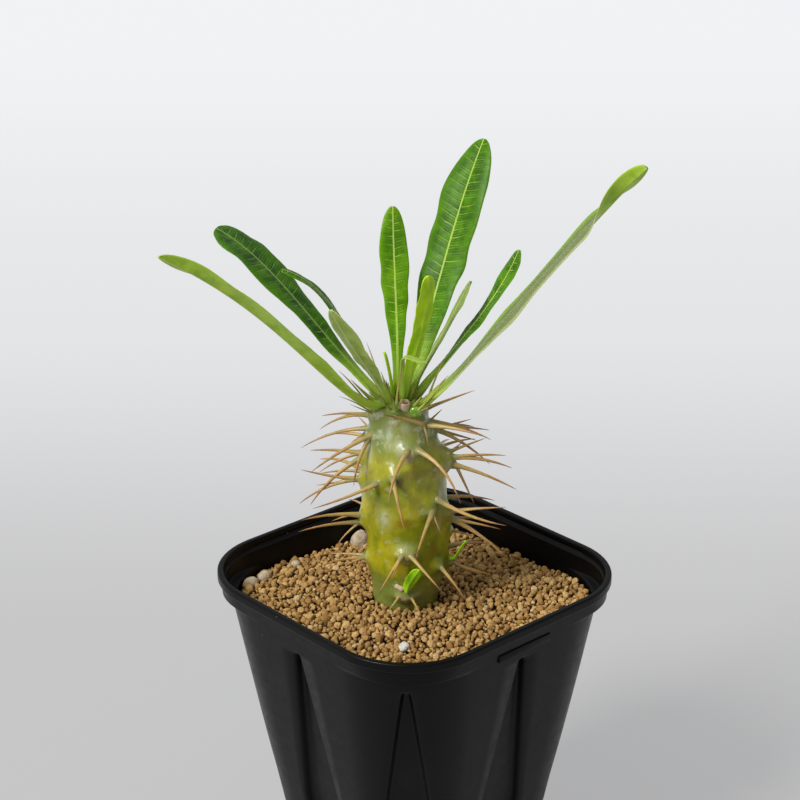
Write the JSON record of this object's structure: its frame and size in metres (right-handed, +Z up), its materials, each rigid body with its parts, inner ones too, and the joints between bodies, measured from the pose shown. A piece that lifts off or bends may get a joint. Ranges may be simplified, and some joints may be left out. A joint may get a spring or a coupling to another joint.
{
  "type": "potted succulent plant",
  "caption": "Spiny swollen-stemmed succulent with a crown of long narrow leaves, rooted in grit in a deep square fluted plastic nursery pot.",
  "frame": {"origin": "centre of the pot's underside, on the surface the pot stands on", "axes": "+Z up along the pot's axis; X and Y parallel to the pot's sides; the side with the raised tab faces -Y"},
  "size_m": [0.1126, 0.1142, 0.222],
  "materials": {
    "pot_plastic": "black injection-moulded plastic, satin gloss",
    "soil": "tan fired-clay grit, matt and dusty",
    "pumice": "off-white pumice, matt and pitted",
    "trunk_skin": "olive-green waxy bark with silver-grey mottling",
    "leaf": "green leaf, satin, pale midrib and side veins"
  },
  "bodies": {
    "root": {"pot": "pot_plastic", "soil": "soil", "pumice_1": "pumice", "pumice_2": "pumice", "pumice_3": "pumice", "pumice_4": "pumice", "pumice_5": "pumice", "trunk": "trunk_skin", "leaf_01": "leaf", "leaf_02": "leaf", "leaf_03": "leaf", "leaf_04": "leaf", "leaf_05": "leaf", "leaf_06": "leaf", "leaf_07": "leaf", "leaf_08": "leaf", "leaf_09": "leaf", "leaf_10": "leaf", "leaf_11": "leaf", "leaf_12": "leaf", "shoot_leaf_front": "leaf", "shoot_leaf_side": "leaf"}
  },
  "joints": []
}
